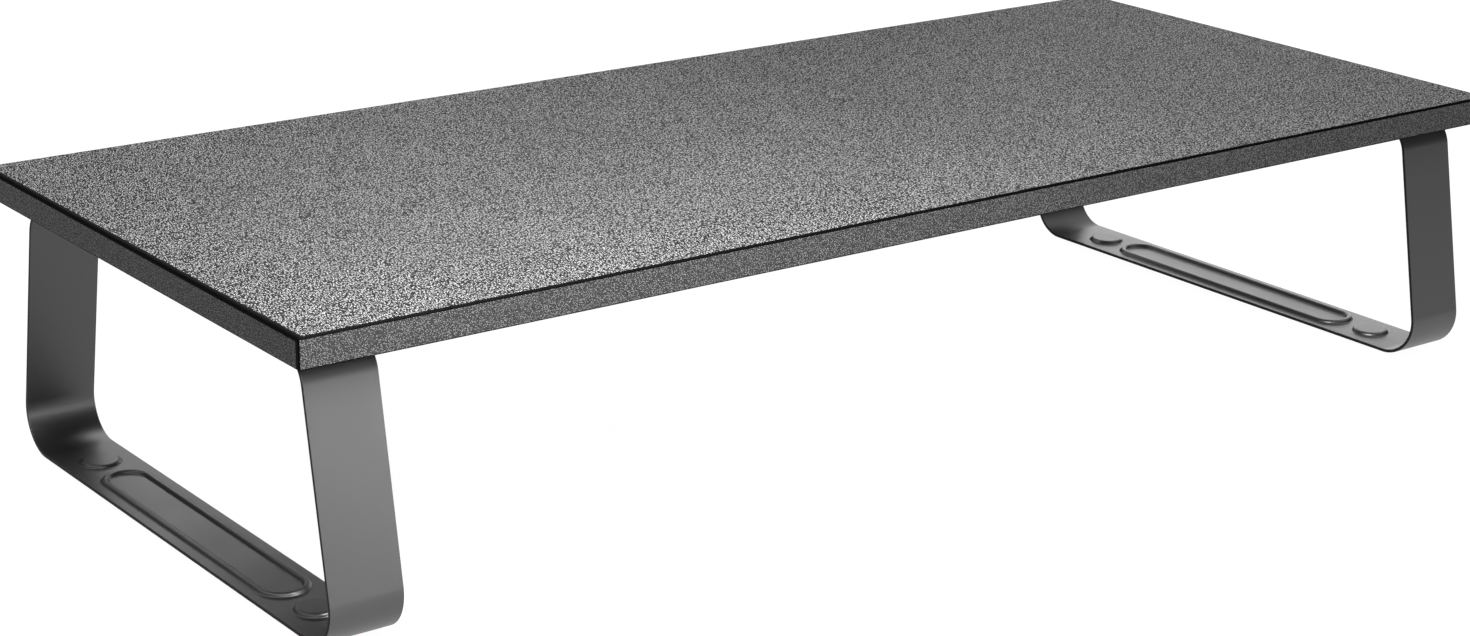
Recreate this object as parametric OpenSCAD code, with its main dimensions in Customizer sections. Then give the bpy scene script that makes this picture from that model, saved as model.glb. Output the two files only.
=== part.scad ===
// Desktop riser: an edge-banded board carried on two bent flat-strip legs.
// Millimetres. +X runs along the board, -Y is the user's side, +Z is up.
// The origin lies on the desk, under the middle of the object's own box.

/* [Board] */
// Length of the finished board, edge bands included
board_l = 612; // [480:1:800]
// Depth of the finished board, edge bands included
board_d = 260; // [220:1:340]
// Thickness of the finished board, laminates included
board_t = 12; // [10:0.5:25]

/* [Board skins] */
// Thickness of the top and the bottom laminate, each
laminate_t = 0.8; // [0.4:0.1:1.2]
// Thickness of the edge bands
band_t = 2; // [1.5:0.1:3]
// Radius milled along the upper edges of the bands at the front and rear
long_band_r = 1; // [0.3:0.1:2.5]
// Radius milled along the upper edges of the bands at the left and right
short_band_r = 1.8; // [0.3:0.1:2.5]
// Radius milled along the lower edges of all four bands
under_band_r = 0.5; // [0.3:0.1:1.5]
// Radius at the board's upright corners
band_corner_r = 0.6; // [0.3:0.1:1.5]

/* [Leg strip] */
// Width of the steel strip
strip_w = 30; // [26:1:45]
// Thickness of the steel strip
strip_t = 1.5; // [1:0.1:3]
// Height from the strip's underside on the desk to the board's underside
leg_h = 108; // [80:1:160]
// From the board's front edge to the front uprights, under the board
leg_front_setback = 15.5; // [12:0.5:40]
// From the board's rear edge to the rear uprights, under the board
leg_rear_setback = 23.5; // [12:0.5:40]
// Outward lean of the uprights, in degrees from the vertical
leg_lean = 10.5; // [2:0.5:14]
// Outside radius of the bends under the board
top_bend_r = 14; // [8:1:20]
// Outside radius of the bends at the desk
foot_bend_r = 17; // [10:1:22]
// Radius at the corners of a flange's free end
flange_corner_r = 3; // [1:0.5:6]
// Gap between a leg's outer side and the board's end
leg_inset = 8.5; // [4:0.5:40]

/* [Pressed shapes in the foot strip] */
// Height of the pressed shapes above the strip
press_h = 1.5; // [0.6:0.1:1.8]
// Radius over the crown of a pressed edge
crown_r = 1.6; // [0.8:0.1:2]
// Radius where a pressed edge runs out into the strip
runout_r = 0.9; // [0.3:0.1:1.4]
// Diameter of the round seats, over their run-outs
seat_d = 18; // [17:0.5:22]
// From the start of a lower bend to the centre of the seat next to it
seat_from_bend = 20.5; // [14:0.5:30]
// Width of a seat's wall, from its run-out to the recess for its pad
seat_wall = 1.9; // [1.4:0.1:3]
// Flat gap between a seat and the end of the long ring bead
bead_gap = 5; // [2:0.5:12]
// Width of the long ring bead, over its run-outs
bead_w = 22.5; // [14:0.5:24]
// Radius of the groove under the bead
groove_r = 1.2; // [0.4:0.1:1.4]

/* [Foot pads] */
// How far the pads stand below the strip
pad_drop = 1.6; // [1:0.1:3]
// Radius around a pad's lower rim
pad_rim_r = 0.6; // [0.2:0.1:0.9]
// Radial clearance of a pad in its seat
pad_clear = 0.3; // [0.1:0.1:0.5]

/* [Fasteners] */
// Thread diameter of the screws
screw_d = 5; // [4:1:6]
// How far a screw ends short of its insert's far end
screw_short = 0.5; // [0.2:0.1:2]
// Diameter of the pan heads
head_d = 9.5; // [8:0.5:12]
// Height of the pan heads
head_h = 3; // [2:0.1:4]
// Width of the cross slots in the heads
slot_w = 1.1; // [0.8:0.1:1.6]
// Depth of the cross slots in the heads
slot_depth = 1.6; // [1:0.1:1.9]
// Radial clearance of a screw in its flange hole
flange_clear = 0.3; // [0.2:0.05:0.6]
// Outside diameter of the threaded inserts
insert_d = 8; // [7:0.5:10]
// Board left above the inserts' blind holes, top laminate included
insert_cover = 2.4; // [1.4:0.1:4]
// Radial clearance of the threads and of the inserts in the board
seat_clear = 0.05; // [0.02:0.01:0.1]
// Depth of the board's blind holes past the inserts
hole_spare = 0.6; // [0.3:0.1:1]
// Distance between the two screws of one flange
screw_pitch = 20; // [16:1:26]
// Distance from a flange's free end to its first screw
screw_edge = 8; // [6:0.5:14]
// Distance from a flange's second screw to its bend
screw_from_bend = 10; // [8:0.5:16]

/* [Hidden] */
$fn = 64;

// Which leg and which end of it a piece belongs to.
LEFT = -1;
RIGHT = 1;
FRONT = -1;
REAR = 1;

// Steps in which the strip's bends and its pressed edges are drawn.
bend_steps = 20;
press_steps = 6;

// How far cutting bodies reach past the faces they open.
over = 1;

// Colours.
grained = [0.23, 0.23, 0.24];
edging = [0.08, 0.08, 0.08];
chipboard = [0.62, 0.51, 0.38];
coated_steel = [0.30, 0.31, 0.32];
rubber_black = [0.06, 0.06, 0.06];
zinc = [0.72, 0.73, 0.74];
brass = [0.76, 0.62, 0.34];

// Heights.
foot_z = pad_drop;
under_z = foot_z + leg_h;
top_z = under_z + board_t;

// Board core, inside the bands and the laminates.
core_l = board_l - 2 * band_t;
core_d = board_d - 2 * band_t;
core_t = board_t - 2 * laminate_t;

// The strip's loop: its outside span under the board, and how far its middle
// lies in front of the board's.
leg_top_span = board_d - leg_front_setback - leg_rear_setback;
leg_forward = (leg_rear_setback - leg_front_setback) / 2;

// Bend centres, from the leg's own middle line. Each lies its bend radius
// inside both the upright's outer face and the flat stretch it joins.
top_bend_y = leg_top_span / 2 - top_bend_r * (1 - sin(leg_lean)) / cos(leg_lean);
foot_bend_y = leg_top_span / 2
    + ((leg_h - foot_bend_r) * sin(leg_lean) - foot_bend_r) / cos(leg_lean);

// The legs bulge to their widest at the lower bends.
leg_reach = foot_bend_y + foot_bend_r;

// Front and rear limits of the whole object, from the board's middle line.
front_limit = min(-board_d / 2, -leg_forward - leg_reach);
rear_limit = max(board_d / 2, -leg_forward + leg_reach);
board_y = -(front_limit + rear_limit) / 2;
leg_y = board_y - leg_forward;
leg_x = board_l / 2 - leg_inset - strip_w / 2;

// Seats and bead, from the leg's own middle line.
seat_y = foot_bend_y - seat_from_bend;
bead_l = 2 * (seat_y - seat_d / 2 - bead_gap);
seat_recess_d = seat_d - 2 * seat_wall;
pad_d = seat_recess_d - 2 * pad_clear;

// Pressed edge: a crown arc and a run-out arc, tangent to each other.
press_run = sqrt(pow(crown_r + runout_r, 2) - pow(runout_r - press_h + crown_r, 2));
press_root = strip_t / 3;
bead_track_r = bead_w / 2 - press_run;
bead_track_l = bead_l - bead_w;

// Screws, from the leg's middle line: the first is the one at the free end.
flange_end_y = top_bend_y - screw_from_bend - screw_pitch - screw_edge;
screw_ys = [for (i = [0, 1]) flange_end_y + screw_edge + i * screw_pitch];
flange_z = under_z - strip_t;

// Depths into the board from its underside.
insert_hole_depth = board_t - insert_cover;
insert_l = insert_hole_depth - hole_spare;
screw_l = strip_t + insert_l - screw_short;

// ---------- Shapes used by several pieces ----------

// Rectangle centred on the origin, its corners rounded to the radius r.
module rounded_rectangle(w, h, r) {
    square([w - 2 * r, h], center = true);
    square([w, h - 2 * r], center = true);
    for (x = [-1, 1], y = [-1, 1])
        translate([x * (w / 2 - r), y * (h / 2 - r)]) circle(r);
}

// A rectangle with its upper and its lower corners rounded, centred.
module milled_rectangle(w, h, upper_r, lower_r) {
    translate([0, (lower_r - upper_r) / 2]) square([w, h - upper_r - lower_r], center = true);
    for (end = [[upper_r, h / 2 - upper_r], [lower_r, lower_r - h / 2]]) {
        translate([0, end.y]) square([w - 2 * end.x, 2 * end.x], center = true);
        for (x = [-1, 1]) translate([x * (w / 2 - end.x), end.y]) circle(end.x);
    }
}

// Points of an arc about the centre c, in so many steps, both ends included.
function arc(c, r, first, last, steps) =
    [for (i = [0:steps]) let (a = first + (last - first) * i / steps)
        c + r * [cos(a), sin(a)]];

// Stands a profile drawn in Y and Z upright and runs it along X, centred.
module along_x(length) {
    rotate([90, 0, 90]) linear_extrude(length, center = true) children();
}

// Stands a profile drawn in X and Z upright and runs it along Y, centred.
module along_y(length) {
    rotate([90, 0, 0]) linear_extrude(length, center = true) children();
}

// Carries its children to the screw places of one flange.
module at_screws(side, end) {
    for (y = screw_ys)
        translate([side * leg_x, leg_y + end * y, 0]) children();
}

// Carries its children to the screw places of all four flanges.
module at_all_screws() {
    for (side = [LEFT, RIGHT], end = [FRONT, REAR]) at_screws(side, end) children();
}

// ---------- Board ----------

// The finished board's outer shape, long edges milled round.
module board_envelope() {
    translate([0, board_y, under_z + board_t / 2])
        intersection() {
            along_x(board_l + 2 * over)
                milled_rectangle(board_d, board_t, long_band_r, under_band_r);
            along_y(board_d + 2 * over)
                milled_rectangle(board_l, board_t, short_band_r, under_band_r);
            linear_extrude(board_t + 2 * over, center = true)
                rounded_rectangle(board_l, board_d, band_corner_r);
        }
}

// A layer of the board inside the bands, from the height z upwards.
module board_layer(z, t) {
    translate([-core_l / 2, board_y - core_d / 2, z]) cube([core_l, core_d, t]);
}

// Blind holes for the inserts, opening at the board's underside.
module insert_holes() {
    at_all_screws()
        translate([0, 0, under_z - over])
            cylinder(h = insert_hole_depth + over, d = insert_d + 2 * seat_clear);
}

module board_core() {
    color(chipboard)
        difference() {
            board_layer(under_z + laminate_t, core_t);
            insert_holes();
        }
}

module top_laminate() {
    color(grained) board_layer(top_z - laminate_t, laminate_t);
}

module bottom_laminate() {
    color(edging)
        difference() {
            board_layer(under_z, laminate_t);
            insert_holes();
        }
}

// Band along the front or the rear, as long as the board.
module long_band(end) {
    color(grained)
        intersection() {
            board_envelope();
            translate([0, board_y + end * (board_d - band_t) / 2, under_z + board_t / 2])
                cube([board_l + 2 * over, band_t, board_t + 2 * over], center = true);
        }
}

// Band at the left or the right, between the two long ones.
module short_band(side) {
    color(grained)
        intersection() {
            board_envelope();
            translate([side * (board_l - band_t) / 2, board_y, under_z + board_t / 2])
                cube([band_t, core_d, board_t + 2 * over], center = true);
        }
}

// ---------- Legs ----------

// Side view of the rear half of the strip, from the desk round to the flange's
// free end, at the depth inset below the strip's outer face.
function half_strip(inset) = concat(
    arc([foot_bend_y, foot_bend_r], foot_bend_r - inset, -90, leg_lean, bend_steps),
    arc([top_bend_y, leg_h - top_bend_r], top_bend_r - inset, leg_lean, 90, bend_steps),
    [[flange_end_y, leg_h - inset]]
);

// The whole way round, from the front flange's end to the rear flange's.
function strip_line(inset) =
    let (half = half_strip(inset))
    concat([for (i = [len(half) - 1:-1:0]) [-half[i].x, half[i].y]], half);

// Side view of the bent strip, its outer face joined to its inner one.
module leg_section() {
    inner = strip_line(strip_t);
    polygon(concat(strip_line(0), [for (i = [len(inner) - 1:-1:0]) inner[i]]));
}

// Cuts that round the two corners of one flange's free end.
module flange_corner_cuts() {
    for (x = [-1, 1])
        translate([
            x * (strip_w / 2 - flange_corner_r),
            flange_end_y + flange_corner_r,
            leg_h - strip_t - over
        ])
            difference() {
                translate([x > 0 ? 0 : -flange_corner_r - over, -flange_corner_r - over, 0])
                    cube([flange_corner_r + over, flange_corner_r + over, strip_t + 2 * over]);
                cylinder(h = strip_t + 2 * over, r = flange_corner_r);
            }
}

// A pressed edge, from its run-out at x = press_run up to its crown at x = 0.
function pressed_edge() =
    let (
        crown = [0, press_h - crown_r],
        runout = [press_run, runout_r],
        wall = atan2(runout.y - crown.y, runout.x - crown.x),
        rise = arc(crown, crown_r, wall, 90, press_steps)
    )
    concat(
        arc(runout, runout_r, -90, wall - 180, press_steps),
        [for (i = [1:press_steps]) rise[i]]
    );

// Section of the bead: two pressed edges, back to back, rooted in the strip.
module bead_section() {
    edge = pressed_edge();
    polygon(concat(
        [[press_run, -press_root]],
        edge,
        [for (i = [len(edge) - 2:-1:0]) [-edge[i].x, edge[i].y]],
        [[-press_run, -press_root]]
    ));
}

// Runs a profile around the bead's long ring, in the plane z = 0.
module around_bead() {
    for (x = [-1, 1])
        translate([x * bead_track_r, 0, 0]) along_y(bead_track_l) children();
    for (end = [0, 180])
        rotate(end) translate([0, bead_track_l / 2, 0])
            rotate_extrude(angle = 180) translate([bead_track_r, 0]) children();
}

// Round raised seat: a flat middle inside one pressed edge.
module seat() {
    flat_r = seat_d / 2 - press_run;
    rotate_extrude()
        polygon(concat(
            [[0, -press_root], [seat_d / 2, -press_root]],
            [for (p = pressed_edge()) p + [flat_r, 0]],
            [[0, press_h]]
        ));
}

// One leg about its own middle, its strip's underside at z = 0.
module leg_frame() {
    seats = [for (end = [FRONT, REAR]) [0, end * seat_y, 0]];
    difference() {
        union() {
            along_x(strip_w) leg_section();
            translate([0, 0, strip_t]) around_bead() bead_section();
            for (p = seats) translate(p + [0, 0, strip_t]) seat();
        }
        around_bead() circle(groove_r);
        for (p = seats)
            translate(p - [0, 0, over]) cylinder(h = press_h + over, d = seat_recess_d);
        for (end = [FRONT, REAR], y = screw_ys)
            translate([0, end * y, leg_h - strip_t - over])
                cylinder(h = strip_t + 2 * over, d = screw_d + 2 * flange_clear);
        flange_corner_cuts();
        mirror([0, 1, 0]) flange_corner_cuts();
    }
}

module placed_leg(side) {
    color(coated_steel) translate([side * leg_x, leg_y, foot_z]) leg_frame();
}

// Rubber pad, filling its seat and standing on the desk.
module foot_pad(side, end) {
    height = pad_drop + press_h;
    color(rubber_black)
        translate([side * leg_x, leg_y + end * seat_y, 0])
            rotate_extrude() {
                square([pad_d / 2 - pad_rim_r, height]);
                translate([0, pad_rim_r]) square([pad_d / 2, height - pad_rim_r]);
                intersection() {
                    translate([pad_d / 2 - pad_rim_r, pad_rim_r]) circle(pad_rim_r);
                    square([pad_d, height]);
                }
            }
}

// ---------- Fasteners ----------

// Pan-head screw, head down, the head's seat at z = 0.
module screw() {
    dome_r = head_h;
    difference() {
        union() {
            cylinder(h = screw_l, d = screw_d);
            rotate_extrude() {
                translate([0, -head_h]) square([head_d / 2 - dome_r / 2, head_h]);
                translate([0, -head_h / 2]) square([head_d / 2, head_h / 2]);
                intersection() {
                    translate([head_d / 2 - dome_r / 2, -head_h / 2]) circle(dome_r / 2);
                    translate([0, -head_h]) square([head_d, head_h]);
                }
            }
        }
        for (turn = [0, 90])
            rotate(turn) translate([0, 0, -head_h])
                cube([head_d * 0.55, slot_w, 2 * slot_depth], center = true);
    }
}

module screw_pair(side, end) {
    color(zinc) at_screws(side, end) translate([0, 0, flange_z]) screw();
}

// Two threaded inserts, flush with the board's underside.
module insert_pair(side, end) {
    color(brass)
        at_screws(side, end)
            translate([0, 0, under_z])
                difference() {
                    cylinder(h = insert_l, d = insert_d);
                    translate([0, 0, -over])
                        cylinder(h = insert_l + 2 * over, d = screw_d + 2 * seat_clear);
                }
}

// ---------- Nodes ----------

board_core();
top_laminate();
bottom_laminate();
long_band(FRONT);  // front_edge_band
long_band(REAR);  // rear_edge_band
short_band(LEFT);  // left_edge_band
short_band(RIGHT);  // right_edge_band
placed_leg(LEFT);  // left_leg_frame
placed_leg(RIGHT);  // right_leg_frame
foot_pad(LEFT, FRONT);  // left_front_foot_pad
foot_pad(LEFT, REAR);  // left_rear_foot_pad
foot_pad(RIGHT, FRONT);  // right_front_foot_pad
foot_pad(RIGHT, REAR);  // right_rear_foot_pad
screw_pair(LEFT, FRONT);  // left_front_screws
screw_pair(LEFT, REAR);  // left_rear_screws
screw_pair(RIGHT, FRONT);  // right_front_screws
screw_pair(RIGHT, REAR);  // right_rear_screws
insert_pair(LEFT, FRONT);  // left_front_inserts
insert_pair(LEFT, REAR);  // left_rear_inserts
insert_pair(RIGHT, FRONT);  // right_front_inserts
insert_pair(RIGHT, REAR);  // right_rear_inserts
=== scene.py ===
"""Desktop riser: a grained, edge-banded board standing on two bent flat-strip legs.

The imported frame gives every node's place. The bands, legs, pads and screws are modelled again with
their softened edges and pressed shapes, the rest of the nodes keep their mesh, and each surface is
dressed in a procedural finish. Lengths are in metres: +X along the board, -Y the user's side, +Z up.
"""

import logging
import math
from collections.abc import Iterable, Sequence
from dataclasses import dataclass
from enum import Enum, IntEnum

import bmesh
import bpy
from bmesh.types import BMesh, BMEdge, BMFace, BMVert
from mathutils import Matrix, Vector


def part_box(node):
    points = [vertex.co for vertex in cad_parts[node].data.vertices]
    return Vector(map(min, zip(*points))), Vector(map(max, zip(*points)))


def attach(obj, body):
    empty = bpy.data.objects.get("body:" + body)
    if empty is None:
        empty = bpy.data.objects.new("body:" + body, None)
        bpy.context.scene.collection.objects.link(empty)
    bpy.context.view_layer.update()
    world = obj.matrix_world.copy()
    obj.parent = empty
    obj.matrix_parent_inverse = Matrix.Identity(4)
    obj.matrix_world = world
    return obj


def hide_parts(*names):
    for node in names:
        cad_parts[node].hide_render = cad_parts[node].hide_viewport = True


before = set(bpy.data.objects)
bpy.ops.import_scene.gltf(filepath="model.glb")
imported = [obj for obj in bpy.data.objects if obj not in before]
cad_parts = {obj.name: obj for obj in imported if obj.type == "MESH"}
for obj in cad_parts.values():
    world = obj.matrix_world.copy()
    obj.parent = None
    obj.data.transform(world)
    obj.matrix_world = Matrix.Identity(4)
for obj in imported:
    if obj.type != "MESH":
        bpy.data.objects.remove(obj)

log = logging.getLogger("riser")

MM = 0.001
BODY = "root"
X_AXIS, Y_AXIS, Z_AXIS = Vector((1, 0, 0)), Vector((0, 1, 0)), Vector((0, 0, 1))
QUARTER, HALF, FULL = math.pi / 2, math.pi, 2 * math.pi
# Points nearer than this count as one place, and vertices nearer than WELD are joined.
TOUCH = 0.001 * MM
WELD = 0.002 * MM
# Cosine above which a direction counts as lying along another.
ALONG = 0.99


class Side(Enum):
    """Which leg a piece belongs to; the value is its sign along X."""

    LEFT = -1
    RIGHT = 1


class End(Enum):
    """Which end of a leg a piece belongs to; the value is its sign along Y."""

    FRONT = -1
    REAR = 1


class Slot(Enum):
    """Material slot names for the modelled pieces; each piece holds its own, but nothing here writes it
    out.
    """

    BAND = "edge_band"
    STEEL = "coated_steel"
    RUBBER = "pad_rubber"
    SCREW = "zinc_screw"


class Skin(IntEnum):
    """The places of an edge band's finishes."""

    FACE = 0
    MILLED = 1
    TOP = 2


# ---------------------------------------------------------------- shader expressions


class Signal:
    """A shader socket that can be used in Python expressions."""

    def __init__(self, shader: "Shader", socket: bpy.types.NodeSocket | None) -> None:
        """Wraps an output, or None for a node without any, of one of the shader's nodes."""
        self.shader = shader
        self.socket = socket

    def _math(self, operation: str, *operands: "Signal | float") -> "Signal":
        """Adds a Math node on the operands, in their order."""
        return self.shader.add("ShaderNodeMath", {"operation": operation}, dict(enumerate(operands)))

    def __add__(self, other: "Signal | float") -> "Signal":
        """Sum."""
        return self._math("ADD", self, other)

    def __radd__(self, other: float) -> "Signal":
        """Sum, the number first."""
        return self._math("ADD", other, self)

    def __sub__(self, other: "Signal | float") -> "Signal":
        """Difference."""
        return self._math("SUBTRACT", self, other)

    def __rsub__(self, other: float) -> "Signal":
        """Difference, the number first."""
        return self._math("SUBTRACT", other, self)

    def __mul__(self, other: "Signal | float") -> "Signal":
        """Product."""
        return self._math("MULTIPLY", self, other)

    def __rmul__(self, other: float) -> "Signal":
        """Product, the number first."""
        return self._math("MULTIPLY", other, self)

    def step(self, low: float, high: float) -> "Signal":
        """Smooth step from 0 at low to 1 at high, which falls if high is below low."""
        sides = {"Value": self, "From Min": low, "From Max": high}
        return self.shader.add("ShaderNodeMapRange", {"interpolation_type": "SMOOTHSTEP"}, sides)


@dataclass
class Shader:
    """One procedural material, or a world, while its nodes are being built."""

    name: str
    tree: bpy.types.NodeTree | None = None

    def __post_init__(self) -> None:
        """Makes the material, unless another owner's tree is given, and empties the tree."""
        if self.tree is None:
            self.material = bpy.data.materials.new(self.name)
            self.material.use_nodes = True
            self.tree = self.material.node_tree
        self.tree.nodes.clear()

    def add(
        self,
        kind: str,
        settings: dict[str, object] | None = None,
        sockets: dict[str | int, "Signal | float | Sequence[float]"] | None = None,
        output: str | int = 0,
    ) -> Signal:
        """Adds a node.

        Args:
            kind: The node's type.
            settings: Its properties, set before the sockets.
            sockets: The values or links of its inputs.
            output: The output that is wanted.

        Returns:
            That output.
        """
        node = self.tree.nodes.new(kind)
        for key, value in (settings or {}).items():
            setattr(node, key, value)
        for key, value in (sockets or {}).items():
            if isinstance(value, Signal):
                self.tree.links.new(value.socket, node.inputs[key])
            else:
                node.inputs[key].default_value = value
        return Signal(self, node.outputs[output] if len(node.outputs) else None)

    def place(self, kind: str = "Object") -> Signal:
        """The piece's own coordinates, in metres, or for a world the direction."""
        return self.add("ShaderNodeTexCoord", output=kind)

    def scaled(self, where: Signal, scale: Sequence[float]) -> Signal:
        """Coordinates scaled along each axis."""
        return self.add("ShaderNodeMapping", {}, {"Vector": where, "Scale": scale})

    def noise(self, where: Signal, size: float, detail: float = 2.0, roughness: float = 0.5) -> Signal:
        """Soft noise about 0.5: blotches of a size in metres, with finer octaves and their strength."""
        sockets = {"Vector": where, "Scale": 1 / size, "Detail": detail, "Roughness": roughness}
        return self.add("ShaderNodeTexNoise", {}, sockets)

    def cells(self, where: Signal, size: float) -> Signal:
        """Cells of about one size: the distance from the middle of the nearest, as a share of the size."""
        return self.add("ShaderNodeTexVoronoi", {}, {"Vector": where, "Scale": 1 / size}, "Distance")

    def mix(
        self,
        share: "Signal | float",
        low: "Signal | tuple[float, ...]",
        high: "Signal | tuple[float, ...]",
    ) -> Signal:
        """Colour between two, the first at a share of 0 and the second at 1."""
        # A Mix node's colour sockets come after its number and vector ones.
        sockets = {0: share, 6: low, 7: high}
        return self.add("ShaderNodeMix", {"data_type": "RGBA"}, sockets, 2)

    def shade(self, share: "Signal | float", dark: float, pale: float) -> Signal:
        """Grey between two levels."""
        return self.mix(share, grey(dark), grey(pale))

    def bump(self, height: Signal, depth: float, under: Signal | None = None) -> Signal:
        """Normal bent by a height.

        Args:
            height: The height, as a share of depth.
            depth: The height's full size, in metres.
            under: A normal that this one adds to.

        Returns:
            The bent normal.
        """
        sockets: dict[str | int, Signal | float] = {"Height": height, "Distance": depth, "Strength": 1.0}
        if under is not None:
            sockets["Normal"] = under
        return self.add("ShaderNodeBump", {}, sockets)

    def finish(self, **sockets: "Signal | float | Sequence[float]") -> bpy.types.Material:
        """Closes the material with one Principled shader.

        Args:
            sockets: Its inputs, with _ for each space.

        Returns:
            The finished material.
        """
        named = {key.replace("_", " "): value for key, value in sockets.items()}
        surface = self.add("ShaderNodeBsdfPrincipled", {}, named)
        self.add("ShaderNodeOutputMaterial", {}, {"Surface": surface})
        return self.material


def grey(level: float) -> tuple[float, float, float, float]:
    """A grey as a colour."""
    return (level, level, level, 1.0)


# ---------------------------------------------------------------- finishes


@dataclass(frozen=True)
class PebbleGrain:
    """Dark melamine foil embossed with a fine pebble grain, its pebbles' crowns painted pale: a painted
    highlight.
    """

    name: str
    valley: float = 0.006
    # The crown level is the brightness of the painted highlight on the pebbles.
    crown: float = 0.37
    pebble: float = 0.58 * MM
    stretch: float = 0.5
    depth: float = 0.26 * MM
    roughness: float = 0.42
    shine: float = 0.054
    pebble_foot: float = 0.56
    pebble_top: float = 0.14
    fines: float = 0.45
    fine_foot: float = 0.30
    fine_top: float = 0.70
    fine_share: float = 0.3
    fine_tone: float = 0.40
    cloud: float = 38 * MM
    cloud_tone: float = 0.3
    valley_wear: float = 0.2

    def make(self) -> bpy.types.Material:
        """Makes the material.

        Returns:
            The material.
        """
        shader = Shader(self.name)
        where = shader.scaled(shader.place(), (1.0, self.stretch, 1.0))
        pebbles = shader.cells(where, self.pebble).step(self.pebble_foot, self.pebble_top)
        fine = shader.noise(where, self.pebble * self.fines, 1.0).step(self.fine_foot, self.fine_top)
        height = (1 - self.fine_share) * pebbles + self.fine_share * fine
        clouds = shader.noise(where, self.cloud)
        mottle = 1 - self.cloud_tone / 2 + self.cloud_tone * clouds
        # Pale where the pebbles rise: a painted highlight on their crowns, varied by the fine noise and the
        # clouds.
        tone = pebbles * (1 - self.fine_tone + self.fine_tone * fine) * mottle
        return shader.finish(
            Base_Color=shader.shade(tone, self.valley, self.crown),
            Roughness=self.roughness + (1 - pebbles) * self.valley_wear,
            Specular_IOR_Level=self.shine,
            Normal=shader.bump(height, self.depth),
        )


@dataclass(frozen=True)
class MilledEdge:
    """Solid black edging, smooth where it is milled and cut, with faint cutter marks."""

    name: str = "milled_edging"
    dark: float = 0.00056
    pale: float = 0.0012
    haze: float = 14 * MM
    roughness: float = 0.5
    shine: float = 0.02
    mark: float = 0.9 * MM
    mark_stretch: float = 0.2
    mark_depth: float = 0.01 * MM
    mark_wear: float = 0.1

    def make(self) -> bpy.types.Material:
        """Makes the material.

        Returns:
            The material.
        """
        shader = Shader(self.name)
        where = shader.place()
        marks = shader.noise(shader.scaled(where, (1.0, 1.0, self.mark_stretch)), self.mark, 1.0)
        haze = shader.noise(where, self.haze)
        return shader.finish(
            Base_Color=shader.shade(haze, self.dark, self.pale),
            Roughness=self.roughness + marks * self.mark_wear,
            Specular_IOR_Level=self.shine,
            Normal=shader.bump(marks, self.mark_depth),
        )


@dataclass(frozen=True)
class PowderCoat:
    """Satin dark grey powder coat with a fine orange peel and a few nibs."""

    name: str = "powder_coat"
    colour: float = 0.0090
    roughness: float = 0.39
    shine: float = 0.94
    spread: float = 0.14
    peel: float = 0.75 * MM
    peel_depth: float = 0.012 * MM
    peel_share: float = 0.4
    peel_gloss: float = 0.05
    wave: float = 24 * MM
    wave_wear: float = 0.08
    nib: float = 9.0 * MM
    nib_foot: float = 0.035
    nib_top: float = 0.015
    nib_depth: float = 0.05 * MM

    def make(self) -> bpy.types.Material:
        """Makes the material.

        Returns:
            The material.
        """
        shader = Shader(self.name)
        where = shader.place()
        peel = shader.noise(where, self.peel)
        waves = shader.noise(where, self.wave)
        nibs = shader.cells(where, self.nib).step(self.nib_foot, self.nib_top)
        tone = (1 - self.peel_share) * waves + self.peel_share * peel
        dark, pale = self.colour * (1 - self.spread), self.colour * (1 + self.spread)
        return shader.finish(
            Base_Color=shader.shade(tone, dark, pale),
            Roughness=self.roughness + waves * self.wave_wear - peel * self.peel_gloss,
            Specular_IOR_Level=self.shine,
            Normal=shader.bump(peel, self.peel_depth, shader.bump(nibs, self.nib_depth)),
        )


@dataclass(frozen=True)
class Backing:
    """Plain dark backing foil under the board, matt, with paper fibres showing through."""

    name: str = "backing_foil"
    dark: float = 0.0225
    pale: float = 0.0405
    roughness: float = 0.52
    fibre: float = 0.9 * MM
    fibre_stretch: float = 0.25
    fibre_depth: float = 0.02 * MM
    fibre_wear: float = 0.16

    def make(self) -> bpy.types.Material:
        """Makes the material.

        Returns:
            The material.
        """
        shader = Shader(self.name)
        where = shader.scaled(shader.place(), (self.fibre_stretch, 1.0, 1.0))
        fibres = shader.noise(where, self.fibre, 3.0, 0.6)
        return shader.finish(
            Base_Color=shader.shade(fibres, self.dark, self.pale),
            Roughness=self.roughness + fibres * self.fibre_wear,
            Normal=shader.bump(fibres, self.fibre_depth),
        )


@dataclass(frozen=True)
class Chipboard:
    """Pressed wood chips in a resin, as seen inside the board."""

    name: str = "pressed_chips"
    pale: tuple[float, float, float, float] = (0.46, 0.33, 0.19, 1.0)
    dark: tuple[float, float, float, float] = (0.20, 0.12, 0.06, 1.0)
    roughness: float = 0.78
    chip: float = 2.2 * MM
    chip_shape: tuple[float, float, float] = (0.5, 0.5, 1.6)
    chip_depth: float = 0.1 * MM
    chip_tone: float = 0.6
    flour: float = 0.6 * MM
    flour_tone: float = 0.5
    flour_wear: float = 0.15

    def make(self) -> bpy.types.Material:
        """Makes the material.

        Returns:
            The material.
        """
        shader = Shader(self.name)
        where = shader.place()
        chips = shader.cells(shader.scaled(where, self.chip_shape), self.chip)
        flour = shader.noise(where, self.flour, 3.0)
        return shader.finish(
            Base_Color=shader.mix(chips * self.chip_tone + flour * self.flour_tone, self.pale, self.dark),
            Roughness=self.roughness + flour * self.flour_wear,
            Normal=shader.bump(chips, self.chip_depth),
        )


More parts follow.
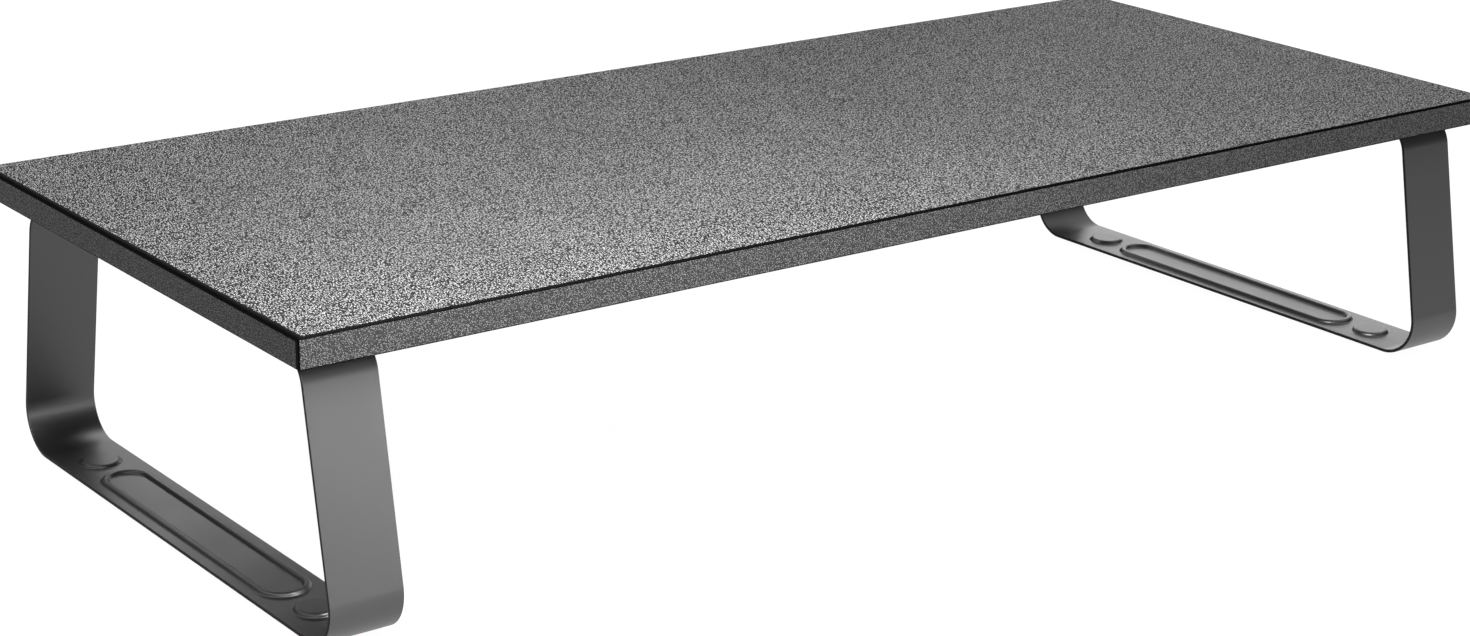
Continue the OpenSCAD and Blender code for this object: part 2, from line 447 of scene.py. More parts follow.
@dataclass(frozen=True)
class Rubber:
    """Matt black moulded rubber, a little dusty."""

    name: str = "moulded_rubber"
    dark: float = 0.014
    dusty: float = 0.0308
    dust: float = 5 * MM
    roughness: float = 0.74
    sand: float = 0.35 * MM
    sand_depth: float = 0.03 * MM
    sand_wear: float = 0.16

    def make(self) -> bpy.types.Material:
        """Makes the material.

        Returns:
            The material.
        """
        shader = Shader(self.name)
        where = shader.place()
        sand = shader.noise(where, self.sand)
        dust = shader.noise(where, self.dust, 3.0)
        return shader.finish(
            Base_Color=shader.shade(dust, self.dark, self.dusty),
            Roughness=self.roughness + sand * self.sand_wear,
            Normal=shader.bump(sand, self.sand_depth),
        )


@dataclass(frozen=True)
class Metal:
    """Bare or plated metal with fine handling marks."""

    name: str
    tint: tuple[float, float, float]
    roughness: float
    worn: float = 0.72
    rub: float = 1.1 * MM
    rub_stretch: float = 4.0
    rub_depth: float = 0.01 * MM
    rub_wear: float = 0.14

    def make(self) -> bpy.types.Material:
        """Makes the material.

        Returns:
            The material.
        """
        shader = Shader(self.name)
        where = shader.scaled(shader.place(), (1.0, 1.0, self.rub_stretch))
        rub = shader.noise(where, self.rub, 3.0)
        worn_tint = [self.worn * level for level in self.tint]
        return shader.finish(
            Base_Color=shader.mix(rub, (*worn_tint, 1.0), (*self.tint, 1.0)),
            Metallic=1.0,
            Roughness=self.roughness + rub * self.rub_wear,
            Normal=shader.bump(rub, self.rub_depth),
        )


@dataclass(frozen=True)
class LightTable:
    """Plain pale floor of opal acrylic, lit from below so that it shows next to no shadow."""

    name: str = "light_table"
    dark: float = 0.0485
    pale: float = 0.0515
    patch: float = 0.2
    roughness: float = 0.9
    shine: float = 0.1
    glow: float = 0.97

    def make(self) -> bpy.types.Material:
        """Makes the material.

        Returns:
            The material.
        """
        shader = Shader(self.name)
        opal = shader.noise(shader.place(), self.patch)
        return shader.finish(
            Base_Color=shader.shade(opal, self.dark, self.pale),
            Roughness=self.roughness,
            Specular_IOR_Level=self.shine,
            Emission_Color=grey(1.0),
            Emission_Strength=self.glow,
        )


# ---------------------------------------------------------------- mesh helpers


def fresh(made: dict[str, list], key: str = "geom") -> list[BMVert]:
    """The vertices in an operator's result."""
    return [part for part in made[key] if isinstance(part, BMVert)]


def ring_of(verts: Iterable[BMVert]) -> list[BMEdge]:
    """The edges whose two ends are among the vertices.

    Args:
        verts: The vertices.

    Returns:
        The edges, once each, in the same order every run.
    """
    kept = dict.fromkeys(verts)
    found = (edge for vert in kept for edge in vert.link_edges if edge.other_vert(vert) in kept)
    return list(dict.fromkeys(found))


def ends_of(edges: Iterable[BMEdge]) -> list[BMVert]:
    """The vertices of the edges, once each, in the same order every run."""
    return list(dict.fromkeys(vert for edge in edges for vert in edge.verts))


def ends_middle(edge: BMEdge) -> Vector:
    """The middle of an edge."""
    return (edge.verts[0].co + edge.verts[1].co) / 2


def open_edges(mesh: BMesh, z: float) -> list[BMEdge]:
    """The edges at a height that have a face on one side only.

    Args:
        mesh: The mesh.
        z: The height.

    Returns:
        The edges.
    """
    return [
        edge
        for edge in mesh.edges
        if len(edge.link_faces) == 1 and all(abs(vert.co.z - z) < TOUCH for vert in edge.verts)
    ]


def near(edges: Iterable[BMEdge], point: Vector, reach: float) -> list[BMEdge]:
    """The edges whose middle is nearer to a point than the reach."""
    return [edge for edge in edges if (ends_middle(edge) - point).length < reach]


def push(mesh: BMesh, edges: list[BMEdge], by: Vector) -> list[BMEdge]:
    """Extrudes an open outline along a vector.

    Args:
        mesh: The mesh.
        edges: The outline's edges.
        by: How far it goes.

    Returns:
        The outline's edges at the far end.
    """
    moved = fresh(bmesh.ops.extrude_edge_only(mesh, edges=edges))
    bmesh.ops.translate(mesh, verts=moved, vec=by)
    return ring_of(moved)


def turn(
    mesh: BMesh, parts: Sequence[BMEdge | BMVert], about: Vector, axis: Vector, angle: float, steps: int
) -> list[BMEdge | BMVert]:
    """Sweeps an outline, or draws an arc with a vertex, round an axis.

    Args:
        mesh: The mesh.
        parts: The outline's edges, or one vertex.
        about: A point on the axis.
        axis: The axis.
        angle: How far it turns, in radians.
        steps: In how many steps.

    Returns:
        The edges, or the vertex, at the far end.
    """
    edges = [part for part in parts if isinstance(part, BMEdge)]
    verts = ends_of(edges) if edges else list(parts)
    made = bmesh.ops.spin(
        mesh, geom=verts + edges, cent=about, axis=axis, angle=angle, steps=steps, use_duplicate=False
    )
    last = fresh(made, "geom_last")
    return ring_of(last) if edges else last


def whirl(mesh: BMesh, section: list[BMEdge], about: Vector, steps: int = 64) -> None:
    """Spins a section once round an upright axis.

    Args:
        mesh: The mesh.
        section: The section's edges.
        about: A point on the axis.
        steps: In how many steps.
    """
    bmesh.ops.spin(
        mesh,
        geom=ends_of(section) + section,
        cent=about,
        axis=Z_AXIS,
        angle=FULL,
        steps=steps,
        use_merge=True,
        use_duplicate=False,
    )


def outline(mesh: BMesh, corners: Sequence[Vector], closed: bool = True) -> list[BMEdge]:
    """Draws straight edges through the corners.

    Args:
        mesh: The mesh.
        corners: The corners in order.
        closed: Whether the last corner is joined to the first.

    Returns:
        The edges.
    """
    verts = [mesh.verts.new(corner) for corner in corners]
    pairs = zip(verts, verts[1:] + verts[:1] if closed else verts[1:])
    return [mesh.edges.new(pair) for pair in pairs]


def circle(mesh: BMesh, centre: Vector, radius: float, steps: int = 48) -> list[BMEdge]:
    """Draws a level circle.

    Args:
        mesh: The mesh.
        centre: Its middle.
        radius: Its radius.
        steps: How many edges it has.

    Returns:
        The edges.
    """
    made = bmesh.ops.create_circle(
        mesh, segments=steps, radius=radius, matrix=Matrix.Translation(centre), cap_ends=False
    )
    return ring_of(made["verts"])


def fill(mesh: BMesh, edges: list[BMEdge], facing: Vector) -> None:
    """Fills a flat outline, leaving out the outlines that lie inside it."""
    bmesh.ops.triangle_fill(mesh, edges=edges, normal=facing, use_beauty=True)


def cap(mesh: BMesh, edges: list[BMEdge]) -> None:
    """Closes one plain outline with one face."""
    bmesh.ops.contextual_create(mesh, geom=edges)


def soften(mesh: BMesh, edges: list[BMEdge], radius: float, steps: int) -> None:
    """Rounds edges.

    Args:
        mesh: The mesh.
        edges: The edges.
        radius: How round they become.
        steps: In how many faces.
    """
    bmesh.ops.bevel(
        mesh,
        geom=edges,
        offset=radius,
        offset_type="OFFSET",
        affect="EDGES",
        segments=steps,
        profile=0.5,
        material=-1,
        clamp_overlap=True,
    )


def sharp_edges(mesh: BMesh, least: float = math.radians(50)) -> list[BMEdge]:
    """The edges at which the surface turns by at least that angle."""
    return [edge for edge in mesh.edges if len(edge.link_faces) == 2 and edge.calc_face_angle() > least]


@dataclass
class Piece:
    """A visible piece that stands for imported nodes."""

    name: str
    slot: Slot
    finishes: tuple[bpy.types.Material, ...]
    stands_for: tuple[str, ...]
    crease: float = math.radians(38)

    def close(self, mesh: BMesh) -> bpy.types.Object:
        """Turns the finished mesh into the scene's object.

        Args:
            mesh: The mesh, which is freed.

        Returns:
            The object, riding on its body.
        """
        bmesh.ops.remove_doubles(mesh, verts=mesh.verts, dist=WELD)
        bmesh.ops.recalc_face_normals(mesh, faces=mesh.faces)
        faults = sum(not edge.is_manifold for edge in mesh.edges)
        data = bpy.data.meshes.new(self.name)
        mesh.to_mesh(data)
        mesh.free()
        for finish in self.finishes:
            data.materials.append(finish)
        data.shade_smooth()
        data.set_sharp_from_angle(angle=self.crease)
        piece = bpy.data.objects.new(self.name, data)
        bpy.context.scene.collection.objects.link(piece)
        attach(piece, BODY)
        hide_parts(*self.stands_for)
        log.info("%s: %d faces, %d open edges", self.name, len(data.polygons), faults)
        return piece


def even_out(piece: bpy.types.Object) -> None:
    """Lets broad faces keep their flat shading beside small rounded ones."""
    modifier = piece.modifiers.new("even_normals", "WEIGHTED_NORMAL")
    modifier.keep_sharp = True


# ---------------------------------------------------------------- sub-assemblies


@dataclass
class EdgeBand:
    """A plastic band along one side of the board, foiled on its face and milled round above and below.

    The long bands run past the short ones' ends, and the foil of the board's top laps onto them.
    """

    node: str
    outward: Vector
    long: bool
    face: bpy.types.Material
    milled: bpy.types.Material
    top: bpy.types.Material
    long_r: float = 1.0 * MM
    short_r: float = 1.8 * MM
    under_r: float = 0.5 * MM
    corner_r: float = 0.6 * MM
    steps: int = 6

    def build(self) -> bpy.types.Object:
        """Models the band.

        Returns:
            Its object.
        """
        low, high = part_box(self.node)
        mesh = bmesh.new()
        place = Matrix.Translation((low + high) / 2) @ Matrix.Diagonal((*(high - low), 1))
        bmesh.ops.create_cube(mesh, size=1, matrix=place)
        weights = mesh.edges.layers.float.new("bevel_weight_edge")
        reach = max(vert.co.dot(self.outward) for vert in mesh.verts)
        widest = max(self.long_r, self.short_r)
        for edge in mesh.edges:
            edge[weights] = self._radius(edge, reach, (low.z + high.z) / 2) / widest
        for part in mesh.faces:
            part.material_index = self._skin_of(part)
        finishes = (self.face, self.milled, self.top)
        piece = Piece(f"{self.node}_milled", Slot.BAND, finishes, (self.node,)).close(mesh)
        rounding = piece.modifiers.new("milled_rounding", "BEVEL")
        rounding.limit_method = "WEIGHT"
        rounding.width = widest
        rounding.segments = self.steps
        rounding.material = Skin.MILLED
        rounding.harden_normals = False
        even_out(piece)
        return piece

    def _skin_of(self, part: BMFace) -> Skin:
        """Which finish a face takes.

        Args:
            part: The face.

        Returns:
            The finish's place.
        """
        if part.normal.dot(self.outward) > ALONG:
            return Skin.FACE
        return Skin.TOP if self.long and part.normal.z > ALONG else Skin.MILLED

    def _radius(self, edge: BMEdge, reach: float, half_way: float) -> float:
        """Says how round an edge is milled.

        Args:
            edge: The edge.
            reach: How far out the band's face lies.
            half_way: The height of the band's middle.

        Returns:
            The radius.
        """
        run = (edge.verts[1].co - edge.verts[0].co).normalized()
        outside = all(abs(vert.co.dot(self.outward) - reach) < TOUCH for vert in edge.verts)
        upper = ends_middle(edge).z > half_way
        if abs(run.z) > ALONG:
            return self.corner_r if self.long and outside else 0.0
        if outside:
            radius = self.long_r if self.long else self.short_r
            return radius if upper else self.under_r
        # The long bands' ends carry on the rounding of the short bands.
        if self.long and abs(run.dot(self.outward)) > ALONG:
            return self.short_r if upper else self.under_r
        return 0.0


@dataclass
class StripLeg:
    """One leg: a steel strip bent into a loop, with two round seats and a long ring bead in its foot."""

    side: Side
    coat: bpy.types.Material
    # The cut sides' coat, duller and painted darker as painted shade.
    cut_shade_coat: bpy.types.Material
    strip_t: float = 1.5 * MM
    top_bend_r: float = 14 * MM
    foot_bend_r: float = 17 * MM
    lean: float = math.radians(10.5)
    flange_l: float = 38 * MM
    flange_corner_r: float = 3 * MM
    edge_r: float = 0.25 * MM
    press_h: float = 1.5 * MM
    crown_r: float = 1.6 * MM
    runout_r: float = 0.9 * MM
    seat_d: float = 18 * MM
    seat_from_bend: float = 20.5 * MM
    seat_wall: float = 1.9 * MM
    bead_gap: float = 5 * MM
    bead_w: float = 22.5 * MM
    groove_r: float = 1.2 * MM
    hole_d: float = 5.6 * MM
    screw_from_bend: float = 10 * MM
    screw_pitch: float = 20 * MM
    painted_shade_facing: float = 0.5
    top_bend_steps: int = 24
    foot_bend_steps: int = 30
    track_steps: int = 40
    corner_steps: int = 8
    edge_steps: int = 2
    runout_steps: int = 6
    crown_steps: int = 7
    groove_steps: int = 10

    def __post_init__(self) -> None:
        """Works out the leg's places from its node's box."""
        self.node = f"{self.side.name.lower()}_leg_frame"
        low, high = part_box(self.node)
        self.base = Vector(((low.x + high.x) / 2, (low.y + high.y) / 2, low.z))
        self.width, self.rise = high.x - low.x, high.z - low.z
        self.foot_bend_y = (high.y - low.y) / 2 - self.foot_bend_r
        sine, cosine = math.sin(self.lean), math.cos(self.lean)
        # The straight uprights fix how far from the middle the centres of the top bends lie.
        drift = (self.rise - self.foot_bend_r) * sine - self.foot_bend_r
        half_span = self.foot_bend_y - drift / cosine
        self.top_bend_y = half_span - self.top_bend_r * (1 - sine) / cosine
        # From the centre of a pressed edge's run-out to that of its crown: down, and across.
        fall = self.crown_r + self.runout_r - self.press_h
        self.press_run = math.sqrt((self.crown_r + self.runout_r) ** 2 - fall**2)
        self.press_turn = QUARTER - math.atan2(fall, self.press_run)
        self.seat_y = self.foot_bend_y - self.seat_from_bend
        bead_l = 2 * (self.seat_y - self.seat_d / 2 - self.bead_gap)
        self.track_r = self.bead_w / 2 - self.press_run
        self.track_half = (bead_l - self.bead_w) / 2

    def at(self, x: float, y: float, z: float) -> Vector:
        """A point given from the middle of the foot's underside."""
        return self.base + Vector((x, y, z))

    def build(self) -> bpy.types.Object:
        """Models the leg.

        Returns:
            Its object.
        """
        mesh = bmesh.new()
        self._bend_strip(mesh)
        self._soften_strip(mesh)
        self._press_foot(mesh)
        self._drill_flanges(mesh)
        coats = (self.coat, self.cut_shade_coat)
        piece = Piece(f"{self.node}_bent", Slot.STEEL, coats, (self.node,)).close(mesh)
        even_out(piece)
        return piece

    def _bend_strip(self, mesh: BMesh) -> None:
        """Runs the strip's section from the front flange round to the rear one.

        Args:
            mesh: The mesh.
        """
        half, top, foot = self.width / 2, self.top_bend_y, self.foot_bend_y
        above, below = self.rise - self.top_bend_r, self.foot_bend_r
        short, long = QUARTER - self.lean, QUARTER + self.lean
        grown = self.foot_bend_r - self.top_bend_r
        run = top - foot - grown * math.cos(self.lean)
        drop = below - above + grown * math.sin(self.lean)
        corners = [(-half, 0), (half, 0), (half, self.strip_t), (-half, self.strip_t)]
        under = self.rise - self.strip_t
        first = outline(mesh, [self.at(x, self.flange_l - top, under + z) for x, z in corners])
        ring = push(mesh, first, -self.flange_l * Y_AXIS)
        ring = turn(mesh, ring, self.at(0, -top, above), X_AXIS, short, self.top_bend_steps)
        ring = push(mesh, ring, Vector((0, run, drop)))
        ring = turn(mesh, ring, self.at(0, -foot, below), X_AXIS, long, self.foot_bend_steps)
        ring = push(mesh, ring, 2 * foot * Y_AXIS)
        ring = turn(mesh, ring, self.at(0, foot, below), X_AXIS, long, self.foot_bend_steps)
        ring = push(mesh, ring, Vector((0, run, -drop)))
        ring = turn(mesh, ring, self.at(0, top, above), X_AXIS, short, self.top_bend_steps)
        ring = push(mesh, ring, -self.flange_l * Y_AXIS)
        for rim in (first, ring):
            cap(mesh, rim)
        bmesh.ops.recalc_face_normals(mesh, faces=mesh.faces)

    def _soften_strip(self, mesh: BMesh) -> None:
        """Rounds the flanges' free corners and every edge, and gives the cut sides a duller coat painted
        darker: painted shade.

        Args:
            mesh: The mesh.
        """
        ends = [
            edge
            for edge in mesh.edges
            if (edge.verts[0].co.xy - edge.verts[1].co.xy).length < TOUCH
            and abs(edge.verts[0].co.y - self.base.y) < self.top_bend_y - self.flange_l / 2
        ]
        soften(mesh, ends, self.flange_corner_r, self.corner_steps)
        soften(mesh, sharp_edges(mesh), self.edge_r, self.edge_steps)
        mesh.normal_update()
        # The cut sides, facing along X, take the duller coat, whose darker colour is painted shade.
        for part in mesh.faces:
            part.material_index = int(abs(part.normal.x) > self.painted_shade_facing)

    def _open_face(self, mesh: BMesh, centre: Vector) -> None:
        """Takes out the level face whose middle is nearest to a point.

        Args:
            mesh: The mesh.
            centre: The point.
        """
        level = [part for part in mesh.faces if abs(part.normal.z) > ALONG]
        nearest = min(level, key=lambda part: (part.calc_center_bounds() - centre).length)
        bmesh.ops.delete(mesh, geom=[nearest], context="FACES_ONLY")

    def _from_track(self, point: Vector) -> float:
        """How far a point lies from the middle line of the ring bead, in plan."""
        x, y = (point - self.base).xy
        return math.hypot(x, max(abs(y) - self.track_half, 0))

    def _close_level(self, mesh: BMesh, height: float, facing: Vector) -> None:
        """Fills the foot outside the ring bead and inside it.

        Args:
            mesh: The mesh.
            height: The height above the foot's underside.
            facing: Which way the new faces look.
        """
        inner: list[BMEdge] = []
        outer: list[BMEdge] = []
        for edge in open_edges(mesh, self.base.z + height):
            inside = self._from_track(ends_middle(edge)) < self.track_r
            (inner if inside else outer).append(edge)
        fill(mesh, outer, facing)
        fill(mesh, inner, facing)

    def _arcs(self, mesh: BMesh, start: Vector, bends: Sequence[tuple[Vector, float, int]]) -> list[BMEdge]:
        """Draws arcs that follow each other, in a plane across Y.

        Args:
            mesh: The mesh.
            start: Where the first arc begins.
            bends: Each arc's centre, angle and steps.

        Returns:
            The arcs' edges.
        """
        known = set(mesh.edges)
        tip: list[BMEdge | BMVert] = [mesh.verts.new(start)]
        for centre, angle, steps in bends:
            tip = turn(mesh, tip, centre, -Y_AXIS, angle, steps)
        return [edge for edge in mesh.edges if edge not in known]

    def _press_foot(self, mesh: BMesh) -> None:
        """Presses the ring bead and the two seats up out of the foot.

        Args:
            mesh: The mesh.
        """
        self._open_face(mesh, self.at(0, 0, self.strip_t))
        self._open_face(mesh, self.at(0, 0, 0))
        t, run, turned = self.strip_t, self.press_run, self.press_turn
        start, track = -self.track_half, self.track_r
        runout_z, crown_z = t + self.runout_r, t + self.press_h - self.crown_r
        bead = self._arcs(
            mesh,
            self.at(track + run, start, t),
            [
                (self.at(track + run, start, runout_z), -turned, self.runout_steps),
                (self.at(track, start, crown_z), 2 * turned, 2 * self.crown_steps),
                (self.at(track - run, start, runout_z), -turned, self.runout_steps),
            ],
        )
        self._around_track(mesh, bead)
        groove = self._arcs(
            mesh,
            self.at(track + self.groove_r, start, 0),
            [(self.at(track, start, 0), HALF, self.groove_steps)],
        )
        self._around_track(mesh, groove)
        for end in End:
            self._press_seat(mesh, end.value * self.seat_y)
        bmesh.ops.remove_doubles(mesh, verts=mesh.verts, dist=WELD)
        self._close_level(mesh, t, Z_AXIS)
        self._close_level(mesh, 0, -Z_AXIS)

    def _around_track(self, mesh: BMesh, section: list[BMEdge]) -> None:
        """Runs a section round the ring bead.

        Args:
            mesh: The mesh.
            section: Its edges, drawn at the start of the right straight.
        """
        length = 2 * self.track_half * Y_AXIS
        ring = push(mesh, section, length)
        ring = turn(mesh, ring, self.at(0, self.track_half, 0), Z_AXIS, HALF, self.track_steps)
        ring = push(mesh, ring, -length)
        turn(mesh, ring, self.at(0, -self.track_half, 0), Z_AXIS, HALF, self.track_steps)

    def _press_seat(self, mesh: BMesh, y: float) -> None:
        """Adds one seat: a flat-topped boss above and the recess for its pad below.

        Args:
            mesh: The mesh.
            y: How far it lies from the leg's middle, along Y.
        """
        t, seat_r, turned = self.strip_t, self.seat_d / 2, self.press_turn
        flat_r, recess_r = seat_r - self.press_run, seat_r - self.seat_wall
        boss = self._arcs(
            mesh,
            self.at(seat_r, y, t),
            [
                (self.at(seat_r, y, t + self.runout_r), -turned, self.runout_steps),
                (self.at(flat_r, y, t + self.press_h - self.crown_r), turned, self.crown_steps),
            ],
        )
        recess = outline(mesh, [self.at(recess_r, y, 0), self.at(recess_r, y, self.press_h)], closed=False)
        for section in (boss, recess):
            whirl(mesh, section, self.at(0, y, 0))
        # The recess ends level with the strip's top, where the boss's foot is open too, further out.
        reach = (seat_r + recess_r) / 2
        for height in (t + self.press_h, self.press_h):
            level = open_edges(mesh, self.base.z + height)
            cap(mesh, near(level, self.at(0, y, height), reach))

    def _drill_flanges(self, mesh: BMesh) -> None:
        """Drills the screw holes through both flanges.

        Args:
            mesh: The mesh.
        """
        for end in End:
            centre = end.value * (self.top_bend_y - self.flange_l / 2)
            holes = [
                end.value * (self.top_bend_y - self.screw_from_bend - step * self.screw_pitch)
                for step in (0, 1)
            ]
            rims: list[list[BMEdge]] = []
            for height, facing in ((self.rise, Z_AXIS), (self.rise - self.strip_t, -Z_AXIS)):
                self._open_face(mesh, self.at(0, centre, height))
                border = [
                    edge
                    for edge in open_edges(mesh, self.base.z + height)
                    if (ends_middle(edge).y - self.base.y) * end.value > 0
                ]
                rims += [circle(mesh, self.at(0, y, height), self.hole_d / 2) for y in holes]
                fill(mesh, border + rims[-1] + rims[-2], facing)
            for above, below in zip(rims[:2], rims[2:]):
                bmesh.ops.bridge_loops(mesh, edges=above + below)


@dataclass
class FootPad:
    """A round rubber pad pushed into its seat, with a grip groove in its sole."""

    side: Side
    end: End
    rubber: bpy.types.Material
    hub_r: float = 0.8 * MM
    rim_r: float = 0.6 * MM
    rim_steps: int = 6
    groove_r: float = 4.6 * MM
    groove_depth: float = 0.35 * MM

    def build(self) -> bpy.types.Object:
        """Models the pad.

        Returns:
            Its object.
        """
        node = f"{self.side.name.lower()}_{self.end.name.lower()}_foot_pad"
        low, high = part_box(node)
        centre, radius, height = (low + high) / 2, (high.x - low.x) / 2, high.z - low.z
        foot = Vector((centre.x, centre.y, low.z))
        dip = self.groove_depth
        stops = [
            (self.hub_r, 0),
            (self.groove_r - dip, 0),
            (self.groove_r, dip),
            (self.groove_r + dip, 0),
            (radius, 0),
            (radius, height),
            (self.hub_r, height),
        ]
        mesh = bmesh.new()
        section = outline(mesh, [foot + Vector((out, 0, z)) for out, z in stops], closed=False)
        corner = foot + radius * X_AXIS
        rim = [vert for vert in ends_of(section) if (vert.co - corner).length < TOUCH]
        bmesh.ops.bevel(
            mesh,
            geom=rim,
            offset=self.rim_r,
            affect="VERTICES",
            segments=self.rim_steps,
            profile=0.5,
            material=-1,
        )
        whirl(mesh, list(mesh.edges), centre)
        for z in (low.z, high.z):
            cap(mesh, open_edges(mesh, z))
        piece = Piece(f"{node}_moulded", Slot.RUBBER, (self.rubber,), (node,)).close(mesh)
        even_out(piece)
        return piece


@dataclass
class PanScrews:
    """The two pan-head screws of one flange."""

    side: Side
    end: End
    plating: bpy.types.Material
    head_d: float = 9.5 * MM
    head_h: float = 3 * MM
    shank_d: float = 5 * MM
    slot_l: float = 5.2 * MM
    slot_w: float = 1.1 * MM
    slot_depth: float = 1.6 * MM
    slot_taper: float = 0.7
    rim_steps: int = 8

    def build(self) -> bpy.types.Object:
        """Models both screws.

        Returns:
            Their object.
        """
        node = f"{self.side.name.lower()}_{self.end.name.lower()}_screws"
        low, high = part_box(node)
        mesh = bmesh.new()
        for y in (low.y + self.head_d / 2, high.y - self.head_d / 2):
            self._screw(mesh, Vector(((low.x + high.x) / 2, y, low.z)), high.z - low.z)
        piece = Piece(f"{node}_turned", Slot.SCREW, (self.plating,), (node,)).close(mesh)
        even_out(piece)
        return piece

    def _screw(self, mesh: BMesh, foot: Vector, length: float) -> None:
        """Adds one screw.

        Args:
            mesh: The mesh.
            foot: The middle of its head's lower face.
            length: Its whole length.
        """
        round_r = self.head_h / 2
        flat = (self.head_d / 2 - round_r) * X_AXIS
        known = set(mesh.edges)
        tip = [mesh.verts.new(foot + flat)]
        tip = turn(mesh, tip, foot + flat + round_r * Z_AXIS, -Y_AXIS, QUARTER, self.rim_steps)
        stops = [
            (self.head_d / 2, self.head_h),
            (self.shank_d / 2, self.head_h),
            (self.shank_d / 2, length),
        ]
        for out, z in stops:
            corner = mesh.verts.new(foot + Vector((out, 0, z)))
            mesh.edges.new((tip[0], corner))
            tip = [corner]
        whirl(mesh, [edge for edge in mesh.edges if edge not in known], foot)
        self._sink_cross(mesh, foot)
        top = foot + length * Z_AXIS
        cap(mesh, near(open_edges(mesh, top.z), top, self.shank_d))

    def _sink_cross(self, mesh: BMesh, foot: Vector) -> None:
        """Closes a head's lower face round a cross recess that narrows to its bottom.

        Args:
            mesh: The mesh.
            foot: The middle of the face.
        """
        long, short = self.slot_l / 2, self.slot_w / 2
        arm = [(long, -short), (long, short), (short, short)]
        corners = [
            Matrix.Rotation(QUARTER * turns, 3, "Z") @ Vector((x, y, 0)) + foot
            for turns in range(4)
            for x, y in arm
        ]
        rim = near(open_edges(mesh, foot.z), foot, self.head_d)
        cross = outline(mesh, corners)
        bottom = push(mesh, cross, self.slot_depth * Z_AXIS)
        narrowed = (self.slot_taper, self.slot_taper, 1)
        bmesh.ops.scale(mesh, verts=ends_of(bottom), vec=narrowed, space=Matrix.Translation(-foot))
        cap(mesh, bottom)
        fill(mesh, rim + cross, -Z_AXIS)


# ---------------------------------------------------------------- studio


@dataclass
class Softbox:
    """A square-cornered studio light."""

    name: str
    place: tuple[float, float, float]
    aim: tuple[float, float, float]
    size: tuple[float, float]
    power: float

    def build(self) -> None:
        """Hangs the light."""
        lamp = bpy.data.lights.new(self.name, "AREA")
        lamp.shape = "RECTANGLE"
        lamp.size, lamp.size_y = self.size
        lamp.energy = self.power
        holder = bpy.data.objects.new(self.name, lamp)
        holder.location = self.place
        holder.rotation_euler = (Vector(self.aim) - Vector(self.place)).to_track_quat("-Z", "Y").to_euler()
        bpy.context.scene.collection.objects.link(holder)


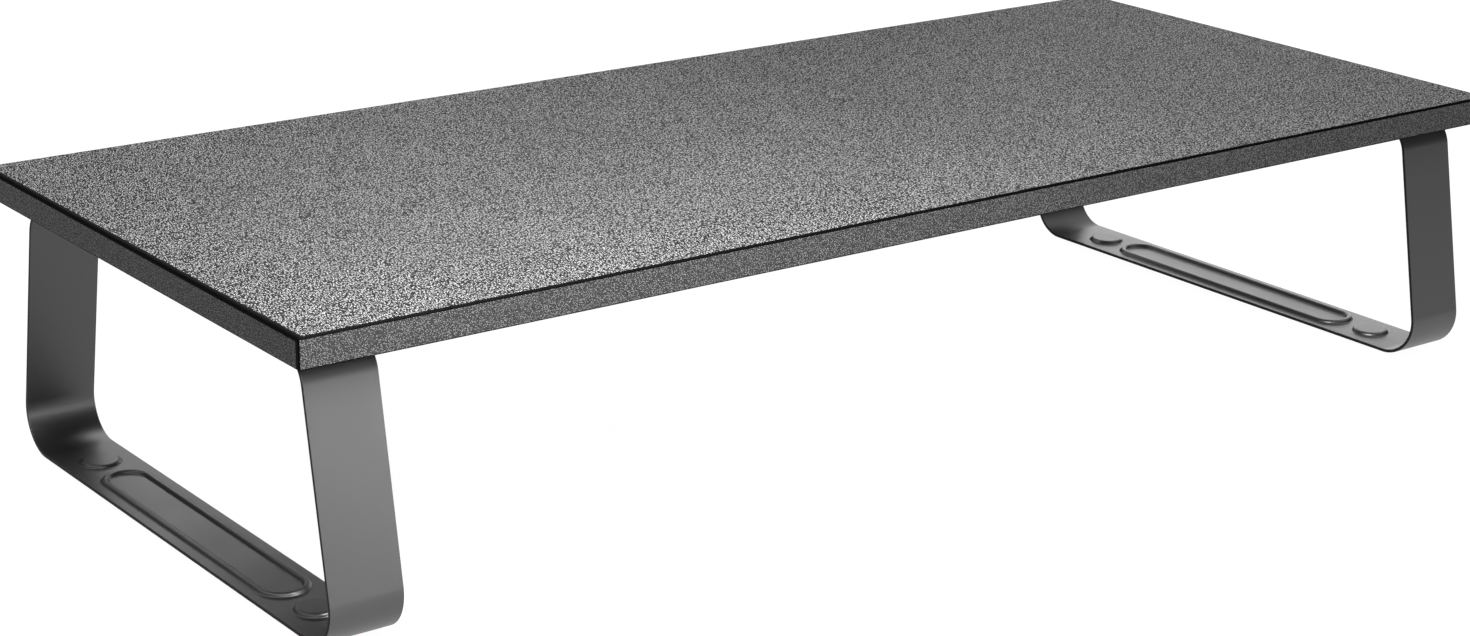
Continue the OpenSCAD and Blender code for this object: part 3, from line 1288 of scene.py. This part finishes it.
@dataclass
class Studio:
    """The floor, the lights and the camera."""

    floor_size: float = 14.0
    horizon: float = 0.10
    walls: float = 0.0
    ceiling: float = 1.25
    wall_rise: tuple[float, float] = (0.10, 0.38)
    ceiling_rise: tuple[float, float] = (0.50, 0.70)
    camera_place: tuple[float, float, float] = (-0.75269, -0.96161, 0.44030)
    camera_turn: tuple[float, float, float] = (71.676, -0.940, -36.848)
    focal_length: float = 71.90
    sensor_width: float = 36.0
    sight: float = 50.0
    lights: tuple[Softbox, ...] = (
        Softbox("key_softbox", (-0.42, -0.72, 0.34), (-0.28, -0.12, 0.08), (0.4, 0.2), 2.8),
        Softbox("key_corner", (-0.20, -0.32, 0.42), (-0.26, -0.10, 0.12), (0.34, 0.22), 8.8),
        Softbox("front_fill", (0.05, -0.60, 0.09), (0.20, 0.05, 0.03), (0.3, 0.10), 0.85),
        Softbox("rear_top", (-0.08, 0.32, 0.55), (-0.08, 0.08, 0.12), (0.4, 0.3), 1.1),
        Softbox("rear_panel", (1.5, 2.0, 1.25), (0.1, 0.0, 0.1), (3.0, 0.9), 6.0),
        Softbox("rear_middle_panel", (0.4, 2.3, 1.35), (0.0, 0.0, 0.1), (2.6, 0.9), 8.2),
        Softbox("rear_left_panel", (-0.1, 1.8, 1.0), (-0.1, 0.0, 0.1), (1.2, 0.6), 2.4),
        Softbox("right_panel", (0.95, 0.50, 0.20), (0.28, 0.0, 0.01), (0.6, 0.3), 1.6),
        Softbox("left_strip", (-0.75, 0.20, 0.10), (-0.28, 0.05, 0.01), (0.3, 0.15), 0.2),
    )

    def build(self) -> None:
        """Sets up the whole studio."""
        self._lay_floor()
        self._light()
        self._place_camera()

    def _lay_floor(self) -> None:
        """Lays the floor."""
        mesh = bmesh.new()
        bmesh.ops.create_grid(mesh, x_segments=2, y_segments=2, size=self.floor_size / 2)
        data = bpy.data.meshes.new("studio_floor")
        mesh.to_mesh(data)
        mesh.free()
        data.materials.append(LightTable().make())
        floor = bpy.data.objects.new("studio_floor", data)
        bpy.context.scene.collection.objects.link(floor)

    def _light(self) -> None:
        """Sets the even surrounding light and hangs the softboxes."""
        world = bpy.data.worlds.new("studio")
        world.use_nodes = True
        shader = Shader("studio_walls", world.node_tree)
        upwards = shader.add("ShaderNodeSeparateXYZ", {}, {0: shader.place("Generated")}, "Z")
        lower = shader.shade(upwards.step(*self.wall_rise), self.horizon, self.walls)
        whole = shader.mix(upwards.step(*self.ceiling_rise), lower, grey(self.ceiling))
        glow = shader.add("ShaderNodeBackground", {}, {"Color": whole})
        shader.add("ShaderNodeOutputWorld", {}, {"Surface": glow})
        bpy.context.scene.world = world
        for softbox in self.lights:
            softbox.build()

    def _place_camera(self) -> None:
        """Places the camera."""
        lens = bpy.data.cameras.new("camera")
        lens.sensor_width = self.sensor_width
        lens.lens = self.focal_length
        lens.clip_end = self.sight
        camera = bpy.data.objects.new("camera", lens)
        camera.location = self.camera_place
        camera.rotation_euler = [math.radians(angle) for angle in self.camera_turn]
        bpy.context.scene.collection.objects.link(camera)
        bpy.context.scene.camera = camera
        bpy.context.scene.view_settings.view_transform = "Standard"


# ---------------------------------------------------------------- the whole riser


def dress(node: str, finish: bpy.types.Material) -> None:
    """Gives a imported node, which keeps its mesh, its finish.

    Args:
        node: The node's name.
        finish: The finish.
    """
    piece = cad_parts[node]
    for slot in piece.material_slots:
        slot.material = finish
    log.info("%s: dressed in %s", node, finish.name)


def main() -> None:
    """Builds the riser and its studio."""
    logging.basicConfig(level=logging.INFO, format="%(name)s: %(message)s")
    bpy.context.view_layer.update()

    grain = PebbleGrain("grained_foil").make()
    # The band's foil also has its pebbles' crowns painted pale, as a dimmer painted highlight.
    band_grain = PebbleGrain("grained_band", valley=0.014, crown=0.136, stretch=1.0, shine=0.18).make()
    milled = MilledEdge().make()
    coat = PowderCoat().make()
    # The cut sides' coat is duller, and painted darker as painted shade.
    cut_shade_coat = PowderCoat("cut_edge_coat_painted_shade", colour=0.002, roughness=0.6, shine=0.15).make()
    rubber = Rubber().make()
    black_zinc = Metal("black_zinc", tint=(0.16, 0.16, 0.17), roughness=0.34).make()
    brass = Metal("brass", tint=(0.78, 0.58, 0.26), roughness=0.30).make()

    dress("top_laminate", grain)
    dress("bottom_laminate", Backing().make())
    dress("board_core", Chipboard().make())

    outwards = {"front": -Y_AXIS, "rear": Y_AXIS, "left": -X_AXIS, "right": X_AXIS}
    for name, outward in outwards.items():
        EdgeBand(f"{name}_edge_band", outward, bool(outward.y), band_grain, milled, grain).build()

    for side in Side:
        StripLeg(side, coat, cut_shade_coat).build()
        for end in End:
            FootPad(side, end, rubber).build()
            PanScrews(side, end, black_zinc).build()
            dress(f"{side.name.lower()}_{end.name.lower()}_inserts", brass)

    Studio().build()


if __name__ == "__main__":
    main()
